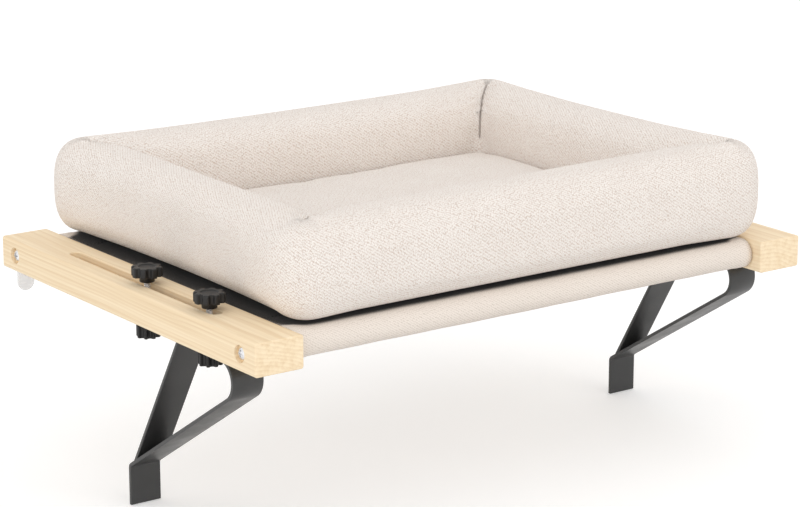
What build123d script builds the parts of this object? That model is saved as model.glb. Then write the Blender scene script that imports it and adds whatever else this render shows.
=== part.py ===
from build123d import *
from math import asin, atan2, cos, hypot, pi, sin, sqrt
import os

# Window-sill pet perch, in millimetres.
# X runs across the perch, Y towards the window, Z up.
# The origin is midway between the rails and midway along them, on the plane of their undersides.

# Rails
inner_gap = 516.0
rail_width = 48.5
rail_length = 439.0
rail_height = 30.0
rail_round = 2.5
rail_end_round = 1.2
slot_length = 252.0
slot_width = 12.0
slot_bevel = 0.8

# Cross rods, their inserts and the screws that hold them
rod_diameter = 24.0
rod_rise = 0.5
rod_end_inset = 24.2
insert_diameter = 10.0
insert_length = 22.0
rod_screw_diameter = 6.0
rod_screw_head_diameter = 10.4
rod_screw_head_height = 3.6
rod_screw_end_spare = 3.0
counterbore_diameter = 15.6
counterbore_depth = 4.2
cross_recess_length = 6.4
cross_recess_width = 1.5
cross_recess_depth = 1.8
pan_rim_share = 0.55

# Sling
fabric_thickness = 0.9
sleeve_slack = 0.25
sleeve_reach = 46.0
sleeve_hem = 3.6
sling_side_gap = 0.6
sling_sag = 4.0

# Brackets
bar_width = 31.0
bar_thickness = 3.2
front_bend_radius = 17.0
foot_bend_radius = 3.0
bracket_reach = 178.4
bracket_drop = 178.5
foot_height = 36.5
plate_tail = 15.0
leg_top_setback = 87.1
leg_bottom_setback = 9.0

# Clamps: a star knob with a threaded stud above, a star knob with a nut below
stud_diameter = 6.0
stud_spacing = 104.0
stud_setback = 14.2
slot_end_to_stud = 15.5
stud_tail = 3.0
thread_clearance = 0.1
hole_clearance = 0.2
knob_lift = 2.0
knob_diameter = 28.0
knob_disc_height = 9.0
knob_hub_diameter = 13.7
knob_hub_height = 5.0
knob_bore_depth = 8.0
knob_lobes = 8
knob_edge_round = 0.8
valley_diameter = 5.2
valley_depth = 2.6
lower_knob_diameter = 22.0
lower_knob_disc_height = 11.5
lower_hub_diameter = 15.0
lower_hub_height = 4.3
nut_across_flats = 10.0
nut_height = 5.0

# Clear tabs on the rails' rear ends
tab_width = 17.4
tab_thickness = 2.4
tab_drop = 27.6
tab_pivot_height = 14.0
tab_gap = 0.2
tab_screw_diameter = 4.0
tab_screw_length = 18.0
tab_screw_head_diameter = 8.0
tab_screw_head_height = 2.4

# Cushion
cushion_shift = 2.0
cushion_knob_gap = 0.25
cushion_overhang = 20.7
cushion_height = 91.5
bolster_thickness = 70.0
stuffing = 3.0
wall_draw_in = 5.0
base_share = 0.42
flank_share = 0.5
shoulder_share = 0.8
crown_share = 0.965
pad_thickness = 26.0
pad_crown = 8.0
pad_side_drop = 3.0
pad_tuck = 12.0
soft_gap = 0.3

# Places worked out from the sizes above
rail_x = (inner_gap + rail_width) / 2
rod_y = rail_length / 2 - rod_end_inset
rod_height = rail_height / 2 + rod_rise
front_stud_y = slot_end_to_stud - slot_length / 2
rear_stud_y = front_stud_y + stud_spacing
foot_y = rear_stud_y + stud_setback
stud_bore_diameter = stud_diameter + 2 * thread_clearance
stud_hole_diameter = stud_diameter + 2 * hole_clearance
sleeve_inner_radius = rod_diameter / 2 + sleeve_slack
sleeve_outer_radius = sleeve_inner_radius + fabric_thickness
sling_top = rod_height + sleeve_outer_radius
sling_half_width = inner_gap / 2 - sling_side_gap
cushion_length = 2 * (rail_x - knob_diameter / 2 - cushion_knob_gap - cushion_shift)
cushion_width = 2 * (rod_y + cushion_overhang)


def arc_bulge(y, sag):
    """Drop of a shallow arc between the rods, below its ends, at the place y."""
    return sag * (1 - (y / rod_y) ** 2)


def dome_drop(half_width, rise):
    """Drop of a dome's arc below its top, halfway out to its rim."""
    radius = (half_width ** 2 + rise ** 2) / (2 * rise)
    return radius - sqrt(radius ** 2 - (half_width / 2) ** 2)


def prism(outline, x_low, x_high):
    """Solid swept across, from a closed outline drawn with y and z as its two directions."""
    face = make_face(Plane.YZ * outline)
    return Pos(x_low, 0, 0) * extrude(face, amount=x_high - x_low, dir=(1, 0, 0))


def upright_cylinder(x, y, z_low, z_high, diameter):
    """Cylinder that stands between two heights."""
    return Pos(x, y, (z_low + z_high) / 2) * Cylinder(diameter / 2, z_high - z_low)


def cross_cylinder(x_start, x_end, y, z, diameter):
    """Cylinder that lies along X between two places, in either order."""
    return Pos((x_start + x_end) / 2, y, z) * Rot(0, 90, 0) * Cylinder(diameter / 2, abs(x_end - x_start))


def lengthwise_cylinder(x, y_low, y_high, z, diameter):
    """Cylinder that lies along Y."""
    return Pos(x, (y_low + y_high) / 2, z) * Rot(90, 0, 0) * Cylinder(diameter / 2, y_high - y_low)


def line_crossing(start, angle, other, other_angle):
    """Point where two lines cross, each given by a point and its angle in radians."""
    dy, dz = other[0] - start[0], other[1] - start[1]
    turn = sin(other_angle - angle)
    along = (dy * sin(other_angle) - dz * cos(other_angle)) / turn
    return (start[0] + along * cos(angle), start[1] + along * sin(angle))


def pan_head(diameter, height):
    """Domed screw head standing on the XY plane, with a cross recess in its top."""
    radius, rim = diameter / 2, height * pan_rim_share
    outline = Polyline((radius, rim), (radius, 0), (0, 0), (0, height))
    middle = (radius / 2, height - dome_drop(radius, height - rim))
    dome = ThreePointArc((0, height), middle, (radius, rim))
    head = revolve(make_face(Plane.XZ * (outline + dome)), Axis.Z)
    arm_length = cross_recess_length * diameter / rod_screw_head_diameter
    arm = Box(arm_length, cross_recess_width, 2 * cross_recess_depth)
    return head - Pos(0, 0, height) * (arm + Rot(0, 0, 90) * arm)


def rail(side):
    """Wooden side rail with its slot, counterbored screw holes and the tab's pilot hole."""
    body = Box(rail_width, rail_length, rail_height)
    body = fillet(body.edges().filter_by(Axis.Y), rail_round)
    ends = body.faces().filter_by(Axis.Y)
    body = fillet(ends.edges(), rail_end_round)
    x = side * rail_x
    body = Pos(x, 0, rail_height / 2) * body
    slot = Rot(0, 0, 90) * SlotOverall(slot_length, slot_width)
    body -= Pos(x, 0, 0) * extrude(slot, rail_height)
    bevel_face = Rot(0, 0, 90) * SlotOverall(slot_length + 2 * slot_bevel, slot_width + 2 * slot_bevel)
    body -= Pos(x, 0, rail_height) * extrude(bevel_face, -slot_bevel, taper=45)
    outer_x = side * (rail_x + rail_width / 2)
    inner_x = side * inner_gap / 2
    seat_x = outer_x - side * counterbore_depth
    for y in (-rod_y, rod_y):
        body -= cross_cylinder(inner_x, outer_x, y, rod_height, rod_screw_diameter + 2 * hole_clearance)
        body -= cross_cylinder(seat_x, outer_x, y, rod_height, counterbore_diameter)
    end_y = rail_length / 2
    pilot_y = end_y - tab_screw_length
    return body - lengthwise_cylinder(x, pilot_y, end_y, tab_pivot_height, tab_screw_diameter)


def rod(y):
    """Round cross rod with a bore in each end for its insert."""
    body = cross_cylinder(-inner_gap / 2, inner_gap / 2, y, rod_height, rod_diameter)
    for side in (-1, 1):
        end = side * inner_gap / 2
        body -= cross_cylinder(end - side * insert_length, end, y, rod_height, insert_diameter)
    return body


def rod_insert(side, y):
    """Threaded insert in one rod end."""
    end = side * inner_gap / 2
    start = end - side * insert_length
    body = cross_cylinder(start, end, y, rod_height, insert_diameter)
    return body - cross_cylinder(start, end, y, rod_height, rod_screw_diameter + 2 * thread_clearance)


def rod_screw(side, y):
    """Cross-head screw that goes through a rail into a rod insert."""
    seat = rail_x + rail_width / 2 - counterbore_depth
    tip = inner_gap / 2 - insert_length + rod_screw_end_spare
    shank = Pos(0, 0, (tip - seat) / 2) * Cylinder(rod_screw_diameter / 2, seat - tip)
    screw = shank + pan_head(rod_screw_head_diameter, rod_screw_head_height)
    return Pos(side * seat, y, rod_height) * Rot(0, side * 90, 0) * screw


def sleeve_outline(side, radius, reach):
    """Drop shape round one rod: two arcs round the rod, and their tangents to a stitch under the panel."""
    y, z = side * rod_y, rod_height
    stitch_y = side * (rod_y - reach)
    stitch_z = sling_top - fabric_thickness - arc_bulge(stitch_y, sling_sag)
    away = atan2(stitch_z - z, stitch_y - y)
    spread = pi / 2 - asin(radius / hypot(stitch_z - z, stitch_y - y))

    def place(turn):
        return (y + radius * cos(away + turn), z + radius * sin(away + turn))

    far, middle = place(pi), (spread + pi) / 2
    upper = Line((stitch_y, stitch_z), place(spread)) + ThreePointArc(place(spread), place(middle), far)
    lower = ThreePointArc(far, place(-middle), place(-spread)) + Line(place(-spread), (stitch_y, stitch_z))
    return upper + lower


def across_sling(outline):
    """Solid as wide as the sling."""
    return prism(outline, -sling_half_width, sling_half_width)


def sling():
    """Canvas sheet with a sewn sleeve round each rod, sagging a little between them."""
    low = sling_top - fabric_thickness
    top = ThreePointArc((-rod_y, sling_top), (0, sling_top - sling_sag), (rod_y, sling_top))
    under = ThreePointArc((rod_y, low), (0, low - sling_sag), (-rod_y, low))
    panel = top + Line((rod_y, sling_top), (rod_y, low)) + under + Line((-rod_y, low), (-rod_y, sling_top))
    body = across_sling(panel)
    for side in (-1, 1):
        body += across_sling(sleeve_outline(side, sleeve_outer_radius, sleeve_reach))
    for side in (-1, 1):
        body -= across_sling(sleeve_outline(side, sleeve_inner_radius, sleeve_reach - sleeve_hem))
    return body


# The strut leaves the front bend and meets the foot in one straight line.
foot_front_y = foot_y - bar_thickness
foot_top = foot_height - bracket_drop
bend_outer_radius = front_bend_radius + bar_thickness
strut_run = foot_front_y - (foot_y - bracket_reach + bend_outer_radius)
strut_fall = foot_top + bend_outer_radius
strut_angle = atan2(strut_fall, strut_run) + asin(bend_outer_radius / hypot(strut_run, strut_fall))
strut_top_y = foot_front_y - bar_thickness * sin(strut_angle)
strut_top_z = foot_top + bar_thickness * cos(strut_angle)
plate_end_y = rear_stud_y + plate_tail


def strap_outline():
    """Closed outline of the bent bar: its outer surface, its inner surface and two square ends."""
    strut_top, foot_corner = (strut_top_y, strut_top_z), (foot_front_y, foot_top)
    front_corner = line_crossing((0, 0), 0, foot_corner, strut_angle)
    inner_corner = line_crossing((0, -bar_thickness), 0, strut_top, strut_angle)
    back_corner = line_crossing((foot_y, 0), pi / 2, strut_top, strut_angle)
    outer_points = [(plate_end_y, 0), front_corner, foot_corner, (foot_front_y, -bracket_drop)]
    inner_points = [(plate_end_y, -bar_thickness), inner_corner, back_corner, (foot_y, -bracket_drop)]
    outer = FilletPolyline(*outer_points, radius=[bend_outer_radius, foot_bend_radius])
    inner = FilletPolyline(*inner_points, radius=[front_bend_radius, foot_bend_radius + bar_thickness])
    return outer + Line(outer @ 1, inner @ 1) + inner + Line(inner @ 0, outer @ 0)


def strap(side):
    """Bent steel bar: top plate with two stud holes, front bend, strut and foot."""
    centre = side * rail_x
    body = prism(strap_outline(), centre - bar_width / 2, centre + bar_width / 2)
    for y in (front_stud_y, rear_stud_y):
        body -= upright_cylinder(centre, y, -bar_thickness, 0, stud_hole_diameter)
    return body


def leg(side):
    """Steel bar welded between the top plate and the strut."""
    head = (foot_y - leg_top_setback, -bar_thickness)
    heel = line_crossing((foot_y - leg_bottom_setback, 0), pi / 2, (strut_top_y, strut_top_z), strut_angle)
    angle = atan2(heel[1] - head[1], heel[0] - head[0])
    front = (head[0] + bar_thickness * sin(angle), head[1] - bar_thickness * cos(angle))
    front_head = line_crossing(front, angle, head, 0)
    front_heel = line_crossing(front, angle, heel, strut_angle)
    outline = Polyline(head, heel, front_heel, front_head, head)
    centre = side * rail_x
    return prism(outline, centre - bar_width / 2, centre + bar_width / 2)


def star_disc(diameter, height):
    """Disc with rounded lobes round its rim, standing on the XY plane."""
    disc = Pos(0, 0, height / 2) * Cylinder(diameter / 2, height)
    valley_radius = diameter / 2 + valley_diameter / 2 - valley_depth
    for number in range(knob_lobes):
        turn = 360 / knob_lobes * (number + 0.5)
        disc -= Rot(0, 0, turn) * Pos(valley_radius, 0, height / 2) * Cylinder(valley_diameter / 2, height)
    rims = disc.faces().filter_by(Axis.Z).edges()
    return fillet(rims, knob_edge_round)


def upper_knob():
    """Star knob above the rail, with a blind bore for its stud; it stands on the stud's axis."""
    hub_low = rail_height + knob_lift
    body = Pos(0, 0, hub_low + knob_hub_height) * star_disc(knob_diameter, knob_disc_height)
    body += upright_cylinder(0, 0, hub_low, hub_low + knob_hub_height, knob_hub_diameter)
    return body - upright_cylinder(0, 0, hub_low, hub_low + knob_bore_depth, stud_bore_diameter)


def stud():
    """Threaded stud from inside the upper knob down into the lower knob."""
    low = -bar_thickness - lower_hub_height - lower_knob_disc_height + stud_tail
    high = rail_height + knob_lift + knob_bore_depth - thread_clearance
    return upright_cylinder(0, 0, low, high, stud_diameter)


def nut_blank():
    """Hexagon prism whose top is level with the top of the lower knob."""
    hexagon = RegularPolygon(nut_across_flats / 2, 6, major_radius=False)
    return Pos(0, 0, -bar_thickness - nut_height) * extrude(hexagon, nut_height)


def lower_knob():
    """Star knob under the top plate, with a pocket for its nut and a bore for the stud."""
    disc_top = -bar_thickness - lower_hub_height
    bottom = disc_top - lower_knob_disc_height
    body = Pos(0, 0, bottom) * star_disc(lower_knob_diameter, lower_knob_disc_height)
    body += upright_cylinder(0, 0, disc_top, -bar_thickness, lower_hub_diameter)
    return body - upright_cylinder(0, 0, bottom, -bar_thickness, stud_hole_diameter) - nut_blank()


def knob_nut():
    """Hexagon nut in the lower knob."""
    low = -bar_thickness - nut_height
    return nut_blank() - upright_cylinder(0, 0, low, -bar_thickness, stud_bore_diameter)


def tab(side):
    """Clear plastic tab with round ends, hung on one screw at the rail's rear end."""
    low = -tab_drop
    high = tab_pivot_height + tab_width / 2
    near_y = rail_length / 2 + tab_gap
    far_y = near_y + tab_thickness
    plate = extrude(Rot(0, 0, 90) * SlotOverall(high - low, tab_width), tab_thickness)
    plate = Pos(side * rail_x, near_y, (high + low) / 2) * Rot(-90, 0, 0) * plate
    hole_diameter = tab_screw_diameter + 2 * hole_clearance
    return plate - lengthwise_cylinder(side * rail_x, near_y, far_y, tab_pivot_height, hole_diameter)


def tab_screw(side):
    """Cross-head screw that holds a tab and lets it swing."""
    head_y = rail_length / 2 + tab_thickness + 2 * tab_gap
    reach = head_y - rail_length / 2 + tab_screw_length - rod_screw_end_spare
    shank = Pos(0, 0, -reach / 2) * Cylinder(tab_screw_diameter / 2, reach)
    screw = shank + pan_head(tab_screw_head_diameter, tab_screw_head_height)
    return Pos(side * rail_x, head_y, tab_pivot_height) * Rot(-90, 0, 0) * screw


def stuffed_points(half_width, side):
    """Points up one side of the stuffed section, from its flat base to its crown."""
    shares = (-shoulder_share, -flank_share, 0, flank_share, shoulder_share, crown_share)
    points = [(side * base_share * half_width, -cushion_height / 2)]
    for share in shares:
        fullness = (1 - abs(share) ** stuffing) ** (1 / stuffing)
        points.append((side * half_width * fullness, share * cushion_height / 2))
    return points


def stuffed_side(points):
    """Arcs up one side of the stuffed section: lower corner, flank and shoulder."""
    lower, flank, shoulder = points[0:3], points[2:5], points[4:7]
    return ThreePointArc(*lower) + ThreePointArc(*flank) + ThreePointArc(*shoulder)


def stuffed_section(half_width):
    """Closed section of the stuffed wall, flat only under its base."""
    right, left = stuffed_points(half_width, 1), stuffed_points(half_width, -1)
    crown = ThreePointArc(right[-1], (0, cushion_height / 2), left[-1])
    return make_face(Line(left[0], right[0]) + stuffed_side(right) + crown + stuffed_side(left))


def stuffed_corner():
    """Round outer corner: half of the stuffed section turned through a right angle."""
    half_width, top = bolster_thickness / 2, cushion_height / 2
    points = stuffed_points(half_width, 1)
    crown_drop = dome_drop(points[-1][0], top - points[-1][1])
    crown = ThreePointArc(points[-1], (points[-1][0] / 2, top - crown_drop), (0, top))
    outline = stuffed_side(points) + crown + Polyline((0, top), (0, -top), points[0])
    return revolve(make_face(Plane.XZ * outline), Axis.Z, 90)


def bolster_wall(length, offset):
    """Stuffed wall along X whose outer side, on negative Y, is drawn in at its middle."""
    sections = []
    for place, pull in ((-length / 2, 0), (0, wall_draw_in), (length / 2, 0)):
        section = stuffed_section((bolster_thickness - pull) / 2)
        sections.append(Pos(place, pull / 2 - offset, 0) * (Plane.YZ * section))
    return loft(sections)


def bolster():
    """Stuffed ring: four walls and four round outer corners."""
    middle_x = (cushion_length - bolster_thickness) / 2
    middle_y = (cushion_width - bolster_thickness) / 2
    long_wall, short_wall = bolster_wall(2 * middle_x, middle_y), bolster_wall(2 * middle_y, middle_x)
    corner = stuffed_corner()
    walls = [Rot(0, 0, turn) * wall for turn, wall in ((90, short_wall), (180, long_wall), (270, short_wall))]
    corners = []
    for number, (x, y) in enumerate(((1, 1), (-1, 1), (-1, -1), (1, -1))):
        corners.append(Pos(x * middle_x, y * middle_y, 0) * Rot(0, 0, 90 * number) * corner)
    ring = long_wall + walls + corners
    return Pos(cushion_shift, 0, sling_top + soft_gap + cushion_height / 2) * ring


def cushion_pad(ring):
    """Crowned pad inside the ring, lying on the sagging sling."""
    half_length = cushion_length / 2 - bolster_thickness + pad_tuck
    half_width = cushion_width / 2 - bolster_thickness + pad_tuck
    low = sling_top + soft_gap
    edge_low = low - arc_bulge(half_width, sling_sag)
    sections = []
    for place, drop in ((-half_length, pad_side_drop), (0, 0), (half_length, pad_side_drop)):
        high = low + pad_thickness - drop
        base = ThreePointArc((-half_width, edge_low), (0, low - sling_sag), (half_width, edge_low))
        crown = ThreePointArc((half_width, high), (0, high + pad_crown - drop), (-half_width, high))
        outline = base + Line(base @ 1, crown @ 0) + crown + Line(crown @ 1, base @ 0)
        sections.append(Pos(cushion_shift + place, 0, 0) * (Plane.YZ * make_face(outline)))
    return loft(sections) - ring


def group(shapes):
    """One node made of several separate solids."""
    return Compound(children=list(shapes))


def build_parts():
    """Every node's shape under its name."""
    ring = bolster()
    ends = [(side, y) for side in (-1, 1) for y in (-rod_y, rod_y)]
    parts = {
        "rod_front": rod(-rod_y),
        "rod_rear": rod(rod_y),
        "rod_inserts": group(rod_insert(side, y) for side, y in ends),
        "rod_screws": group(rod_screw(side, y) for side, y in ends),
        "sling": sling(),
        "tab_screws": group(tab_screw(side) for side in (-1, 1)),
        "cushion_bolster": ring,
        "cushion_pad": cushion_pad(ring),
    }
    clamp = {"knob": upper_knob(), "stud": stud(), "lower_knob": lower_knob(), "knob_nut": knob_nut()}
    for name, side in (("left", -1), ("right", 1)):
        parts[f"rail_{name}"] = rail(side)
        parts[f"strap_{name}"] = strap(side)
        parts[f"leg_{name}"] = leg(side)
        parts[f"tab_{name}"] = tab(side)
        for place, y in (("front", front_stud_y), ("rear", rear_stud_y)):
            for piece, shape in clamp.items():
                parts[f"{piece}_{name}_{place}"] = Pos(side * rail_x, y, 0) * shape
    return parts


os.makedirs("parts", exist_ok=True)
for node, shape in build_parts().items():
    export_step(shape, f"parts/{node}.step")
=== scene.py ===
"""Looks of a window-sill pet perch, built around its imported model. Lengths are in metres, Z is up."""
import logging
import math
from dataclasses import dataclass
from enum import Enum

import bmesh
import bpy
import numpy as np
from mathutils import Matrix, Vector


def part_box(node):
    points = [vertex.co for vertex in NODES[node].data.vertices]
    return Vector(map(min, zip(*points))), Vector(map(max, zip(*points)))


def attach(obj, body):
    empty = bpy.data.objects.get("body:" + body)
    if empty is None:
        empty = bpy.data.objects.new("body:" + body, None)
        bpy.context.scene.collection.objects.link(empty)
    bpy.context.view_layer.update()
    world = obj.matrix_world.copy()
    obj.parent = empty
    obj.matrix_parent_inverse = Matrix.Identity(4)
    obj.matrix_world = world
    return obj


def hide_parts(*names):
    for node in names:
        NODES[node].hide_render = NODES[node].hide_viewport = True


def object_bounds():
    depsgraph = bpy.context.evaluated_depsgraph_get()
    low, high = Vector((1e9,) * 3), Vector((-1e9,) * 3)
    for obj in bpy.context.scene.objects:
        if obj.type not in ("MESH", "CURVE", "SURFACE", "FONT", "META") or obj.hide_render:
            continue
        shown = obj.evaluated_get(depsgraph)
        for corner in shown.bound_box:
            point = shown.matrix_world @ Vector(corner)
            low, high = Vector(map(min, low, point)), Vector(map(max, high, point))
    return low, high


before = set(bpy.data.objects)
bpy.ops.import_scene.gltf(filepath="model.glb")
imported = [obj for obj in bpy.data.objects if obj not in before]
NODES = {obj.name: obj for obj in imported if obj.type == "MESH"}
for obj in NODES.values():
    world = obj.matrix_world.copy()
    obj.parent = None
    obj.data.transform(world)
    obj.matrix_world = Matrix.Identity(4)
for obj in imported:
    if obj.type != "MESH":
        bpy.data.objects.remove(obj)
CAD_LOW, CAD_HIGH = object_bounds()
LOG = logging.getLogger("perch")

Socket = bpy.types.NodeSocket
Colour = tuple[float, float, float]
Point = tuple[float, float, float]

SIDES = {"left": -1.0, "right": 1.0}
PLACES = ("front", "rear")


class Slot(Enum):
    """The record's material slots of the nodes that the scene's own pieces stand for."""

    SLING = "sling_canvas"
    CUSHION = "cushion_cover"
    KNOB = "knob_plastic"
    SCREW = "screw_steel"


class Wall(Enum):
    """The four stuffed walls of the cushion, in the order that its cover runs round them."""

    FRONT = 0
    RIGHT = 1
    BACK = 2
    LEFT = 3


def linear(red: int, green: int, blue: int) -> Colour:
    """Linear colour of a display colour.

    Args:
        red: Display value, 0 to 255.
        green: Display value, 0 to 255.
        blue: Display value, 0 to 255.

    Returns:
        The three linear values.
    """
    shares = np.array([red, green, blue]) / 255.0
    low, high = shares / 12.92, ((shares + 0.055) / 1.055) ** 2.4
    return tuple(float(v) for v in np.where(shares <= 0.04045, low, high))


class Shading:
    """One material's node tree, with short calls that add nodes and join them."""

    def __init__(self, name: str) -> None:
        """Starts a material with one Principled shader.

        Args:
            name: The material's name.
        """
        self.material = bpy.data.materials.new(name)
        self.material.use_nodes = True
        self.tree = self.material.node_tree
        self.tree.nodes.clear()
        self.output = self.tree.nodes.new("ShaderNodeOutputMaterial")
        self.shader = self.tree.nodes.new("ShaderNodeBsdfPrincipled")
        self.link(self.shader.outputs["BSDF"], self.output.inputs["Surface"])

    def link(self, start: Socket, end: Socket) -> None:
        """Joins two sockets.

        Args:
            start: The output.
            end: The input.
        """
        self.tree.links.new(start, end)

    def fill(self, socket: Socket, value: object) -> None:
        """Sets an input to a constant, or joins it to an output.

        Args:
            socket: The input.
            value: A number, a tuple of numbers or an output socket.
        """
        if isinstance(value, bpy.types.NodeSocket):
            self.link(value, socket)
        elif isinstance(value, tuple) and socket.type == "RGBA" and len(value) == 3:
            socket.default_value = (*value, 1.0)
        else:
            socket.default_value = value

    def constants(self, **values: object) -> None:
        """Sets the shader's own sockets.

        Args:
            **values: Socket names, with _ for a space, and their constants.
        """
        for name, value in values.items():
            self.fill(self.shader.inputs[name.replace("_", " ")], value)

    def coordinates(self, source: str, scale: Point = (1, 1, 1), location: Point = (0, 0, 0),
                    turn: float = 0.0) -> Socket:
        """Mapped texture coordinates.

        Args:
            source: Object or UV.
            scale: Cycles for each metre along the three axes.
            location: Offset after the scale.
            turn: Turn about Z in radians, before the scale.

        Returns:
            The mapped vector.
        """
        place = self.tree.nodes.new("ShaderNodeTexCoord").outputs[source]
        if turn:
            turned = self.tree.nodes.new("ShaderNodeVectorRotate")
            turned.rotation_type = "Z_AXIS"
            turned.inputs["Angle"].default_value = turn
            self.link(place, turned.inputs["Vector"])
            place = turned.outputs["Vector"]
        mapping = self.tree.nodes.new("ShaderNodeMapping")
        mapping.inputs["Scale"].default_value = scale
        mapping.inputs["Location"].default_value = location
        self.link(place, mapping.inputs["Vector"])
        return mapping.outputs["Vector"]

    def calculate(self, operation: str, first: object, second: object = 0.0) -> Socket:
        """One arithmetic step.

        Args:
            operation: The Math node's operation.
            first: A number or an output.
            second: A number or an output.

        Returns:
            The result.
        """
        node = self.tree.nodes.new("ShaderNodeMath")
        node.operation = operation
        self.fill(node.inputs[0], first)
        self.fill(node.inputs[1], second)
        return node.outputs[0]

    def plus(self, first: object, second: object) -> Socket:
        """Adds two values.

        Args:
            first: A number or an output.
            second: A number or an output.

        Returns:
            Their sum.
        """
        return self.calculate("ADD", first, second)

    def times(self, first: object, second: object) -> Socket:
        """Multiplies two values.

        Args:
            first: A number or an output.
            second: A number or an output.

        Returns:
            Their product.
        """
        return self.calculate("MULTIPLY", first, second)

    def axes(self, vector: Socket) -> list[Socket]:
        """Splits a vector.

        Args:
            vector: The vector.

        Returns:
            Its X, Y and Z.
        """
        node = self.tree.nodes.new("ShaderNodeSeparateXYZ")
        self.link(vector, node.inputs["Vector"])
        return list(node.outputs)

    def paint(self, colour: Socket, gloss: Socket) -> None:
        """Joins a colour and a roughness to the shader.

        Args:
            colour: The base colour.
            gloss: The roughness.
        """
        self.link(colour, self.shader.inputs["Base Color"])
        self.link(gloss, self.shader.inputs["Roughness"])

    def noise(self, vector: Socket, detail: float = 2.0, roughness: float = 0.5) -> Socket:
        """Soft noise from 0 to 1.

        Args:
            vector: Where it is read.
            detail: Octaves.
            roughness: Share of each finer octave.

        Returns:
            The noise value.
        """
        node = self.tree.nodes.new("ShaderNodeTexNoise")
        self.link(vector, node.inputs["Vector"])
        node.inputs["Scale"].default_value = 1.0
        node.inputs["Detail"].default_value = detail
        node.inputs["Roughness"].default_value = roughness
        return node.outputs["Fac"]

    def cells(self, vector: Socket, randomness: float) -> Socket:
        """Distance from the nearest of a field of points, about one to a unit.

        Args:
            vector: Where it is read.
            randomness: 0 for a square field, 1 for a scattered one.

        Returns:
            The distance.
        """
        node = self.tree.nodes.new("ShaderNodeTexVoronoi")
        node.voronoi_dimensions = "2D"
        self.link(vector, node.inputs["Vector"])
        node.inputs["Scale"].default_value = 1.0
        node.inputs["Randomness"].default_value = randomness
        return node.outputs["Distance"]

    def spread(self, value: Socket, low: float, high: float, to_low: float = 0.0, to_high: float = 1.0) -> Socket:
        """Maps one range to another, smoothly and clamped.

        Args:
            value: What is mapped.
            low: Start of its range.
            high: End of its range.
            to_low: Result at the start.
            to_high: Result at the end.

        Returns:
            The mapped value.
        """
        node = self.tree.nodes.new("ShaderNodeMapRange")
        node.interpolation_type = "SMOOTHSTEP"
        for name, number in (("From Min", low), ("From Max", high), ("To Min", to_low), ("To Max", to_high)):
            node.inputs[name].default_value = number
        self.link(value, node.inputs["Value"])
        return node.outputs["Result"]

    def blend(self, share: object, first: object, second: object) -> Socket:
        """Mixes two colours.

        Args:
            share: Share of the second, a number or an output.
            first: A colour or an output.
            second: A colour or an output.

        Returns:
            The mixed colour.
        """
        node = self.tree.nodes.new("ShaderNodeMix")
        node.data_type = "RGBA"
        self.fill(node.inputs[0], share)
        self.fill(node.inputs[6], first)
        self.fill(node.inputs[7], second)
        return node.outputs[2]

    def relief(self, height: Socket, depth: float, strength: float = 1.0) -> None:
        """Gives the shader a bumped normal.

        Args:
            height: Height from 0 to 1.
            depth: What a height of 1 stands for, in metres.
            strength: The bump's strength.
        """
        node = self.tree.nodes.new("ShaderNodeBump")
        node.inputs["Strength"].default_value = strength
        node.inputs["Distance"].default_value = depth
        self.link(height, node.inputs["Height"])
        self.link(node.outputs["Normal"], self.shader.inputs["Normal"])


@dataclass(frozen=True)
class WoodFinish:
    """Bare sanded softwood, with rings about a pith that runs along one axis."""

    name: str
    light: Colour
    dark: Colour
    pith: Point
    ring_width: float = 0.0036
    ring_share: float = 0.20
    fibre_share: float = 0.34
    along: int = 1
    wander: float = 0.026
    fleck_share: float = 0.16

    def grained(self, shade: Shading, along: float, across: float) -> Socket:
        """Object coordinates drawn out along the grain.

        Args:
            shade: The material's tree.
            along: Cycles for each metre along the grain.
            across: Cycles for each metre across it.

        Returns:
            The vector.
        """
        scale = tuple(along if axis == self.along else across for axis in range(3))
        return shade.coordinates("Object", scale)

    def material(self) -> bpy.types.Material:
        """Builds the material: rings by distance from the pith, bent by slow noise, and long fine fibres."""
        shade = Shading(self.name)
        place = shade.axes(shade.coordinates("Object", location=tuple(-v for v in self.pith)))
        across = [place[axis] for axis in range(3) if axis != self.along]
        squares = [shade.times(part, part) for part in across]
        radius = shade.calculate("SQRT", shade.plus(*squares))
        slow = shade.noise(self.grained(shade, 2.0, 14.0), detail=3.0)
        bent = shade.plus(radius, shade.times(slow, self.wander))
        turn = shade.calculate("FRACT", shade.calculate("DIVIDE", bent, self.ring_width))
        late = shade.times(shade.spread(turn, 0.15, 0.88), shade.spread(turn, 1.0, 0.93))
        streaks = shade.noise(self.grained(shade, 3.0, 210.0), detail=4.0, roughness=0.6)
        fibres = shade.noise(self.grained(shade, 14.0, 950.0), detail=2.0)
        ring_part = shade.times(late, self.ring_share)
        streak_part = shade.times(shade.spread(streaks, 0.35, 0.72), self.fibre_share)
        share = shade.plus(ring_part, streak_part)
        fleck = shade.times(shade.spread(fibres, 0.62, 0.80), self.fleck_share)
        share = shade.plus(share, fleck)
        shade.paint(shade.blend(share, self.light, self.dark), shade.spread(fibres, 0.3, 0.7, 0.50, 0.62))
        shade.constants(Specular_IOR_Level=0.32)
        height = shade.plus(shade.times(fibres, 0.6), streaks)
        shade.relief(height, 0.00012, 0.5)
        return shade.material


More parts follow.
